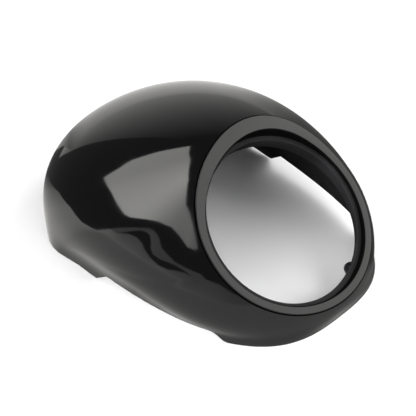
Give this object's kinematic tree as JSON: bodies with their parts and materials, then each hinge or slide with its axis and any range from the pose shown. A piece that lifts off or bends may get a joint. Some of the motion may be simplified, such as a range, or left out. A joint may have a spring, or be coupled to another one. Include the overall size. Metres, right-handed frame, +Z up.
{
  "type": "headlight cowl",
  "caption": "Glossy black motorbike headlight cowl: a thin one-piece shell with a round opening, a short visor and fork cut-outs.",
  "frame": {"origin": "on the plane of the rim, under the middle of the shell's overall length and width", "axes": "+Z up, square to the rim's plane; the round opening faces -Y and up; +Y runs back along the shell to the rear of the dome; +X to the side"},
  "size_m": [0.2342, 0.3098, 0.1358],
  "materials": {
    "gloss_black": "glossy black moulded plastic outside, dull black inside"
  },
  "bodies": {
    "root": {"cowl": "gloss_black"}
  },
  "joints": []
}
